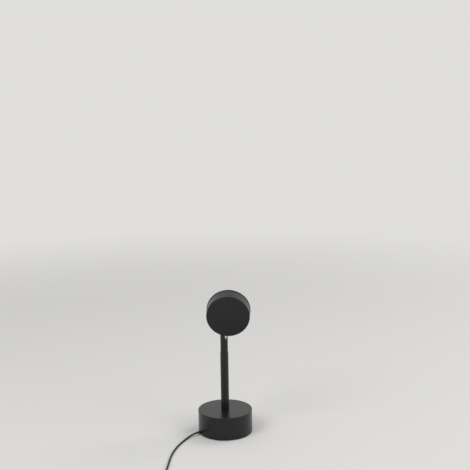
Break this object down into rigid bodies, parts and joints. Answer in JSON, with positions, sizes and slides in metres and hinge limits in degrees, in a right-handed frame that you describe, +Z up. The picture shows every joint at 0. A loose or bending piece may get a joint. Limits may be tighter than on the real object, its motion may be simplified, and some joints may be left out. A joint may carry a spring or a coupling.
{
  "type": "projection lamp",
  "caption": "Black table projection lamp: round weighted base, slim pole, swivelling neck and tilting drum head with a domed lens, with a cord, push switch and plug.",
  "frame": {"origin": "centre of the foot pad's underside, on the table, below the pole's axis", "axes": "+Z up along the pole, +Y the way the lens throws its light, +X to the right as seen from behind the head; the cord leaves the base low on the -X side"},
  "size_m": [0.1456, 0.2966, 0.2441],
  "materials": {
    "black_paint": "satin",
    "black_alloy": "satin",
    "pad_rubber": "matte",
    "zinc_steel": "satin",
    "black_steel": "satin",
    "iron": "matte",
    "nylon": "matte",
    "black_nylon": "satin",
    "bare_alloy": "satin",
    "board": "gloss",
    "phosphor": "matte",
    "black_plastic": "matte",
    "filter_film": "gloss",
    "lens_glass": "gloss",
    "black_rubber": "matte",
    "cord_jacket": "satin",
    "lead_jacket": "satin",
    "strap": "matte",
    "button": "satin",
    "plug_grip": "matte",
    "plug_metal": "satin",
    "white_plastic": "satin",
    "contact_brass": "satin"
  },
  "bodies": {
    "base": {"foot_pad": "pad_rubber", "base_plate": "zinc_steel", "base_plate_screws": "zinc_steel", "base_weight": "iron", "base_shell": "black_paint", "cord_grommet": "black_rubber", "cord_entry": "cord_jacket", "cord_stop": "nylon", "pole_nipple": "zinc_steel", "nipple_washer": "zinc_steel", "nipple_nut": "zinc_steel", "pole_insert": "zinc_steel", "pole_tube": "black_paint", "swivel_bush": "black_nylon", "base_lead": "lead_jacket", "cord_run": "cord_jacket", "switch_bottom": "black_plastic", "switch_top": "black_plastic", "switch_screws": "zinc_steel", "switch_module": "button", "switch_boots": "black_rubber", "cord_link": "cord_jacket", "cord_coil": "cord_jacket", "coil_strap": "strap", "cord_tail": "cord_jacket", "plug_body": "plug_grip", "plug_shell": "plug_metal", "plug_tongue": "white_plastic", "plug_contacts": "contact_brass"},
    "neck": {"neck_stem": "black_paint", "neck_clip": "zinc_steel", "neck_lead": "lead_jacket", "pivot_screw": "black_steel", "pivot_washers": "black_nylon"},
    "head": {"head_shell": "black_alloy", "hinge_plate": "zinc_steel", "hinge_plate_screws": "zinc_steel", "heat_sink": "bare_alloy", "heat_sink_screws": "zinc_steel", "led_board": "board", "led_chip": "phosphor", "optic_tube": "black_plastic", "optic_screws": "zinc_steel", "colour_filter": "filter_film", "filter_ring": "zinc_steel", "head_lead": "lead_jacket", "front_bezel": "black_alloy", "lens_retainer": "black_plastic", "lens": "lens_glass", "lens_seal": "black_rubber"},
    "button": {"switch_button": "button"}
  },
  "joints": [
    {"name": "neck_swivel", "type": "hinge", "parent": "base", "child": "neck", "pos_m": [0, 0, 0.139], "axis": [0, 0, 1], "range_deg": [-170, 170]},
    {"name": "head_tilt", "type": "hinge", "parent": "neck", "child": "head", "pos_m": [0, 0, 0.1715], "axis": [1, 0, 0], "range_deg": [-55.5, 34.5]},
    {"name": "switch_press", "type": "slide", "parent": "base", "child": "button", "axis": [0, 0, -1], "range_m": [0, 0.0012], "stiffness_N_per_m": 1500, "springref_m": -0.0005}
  ]
}
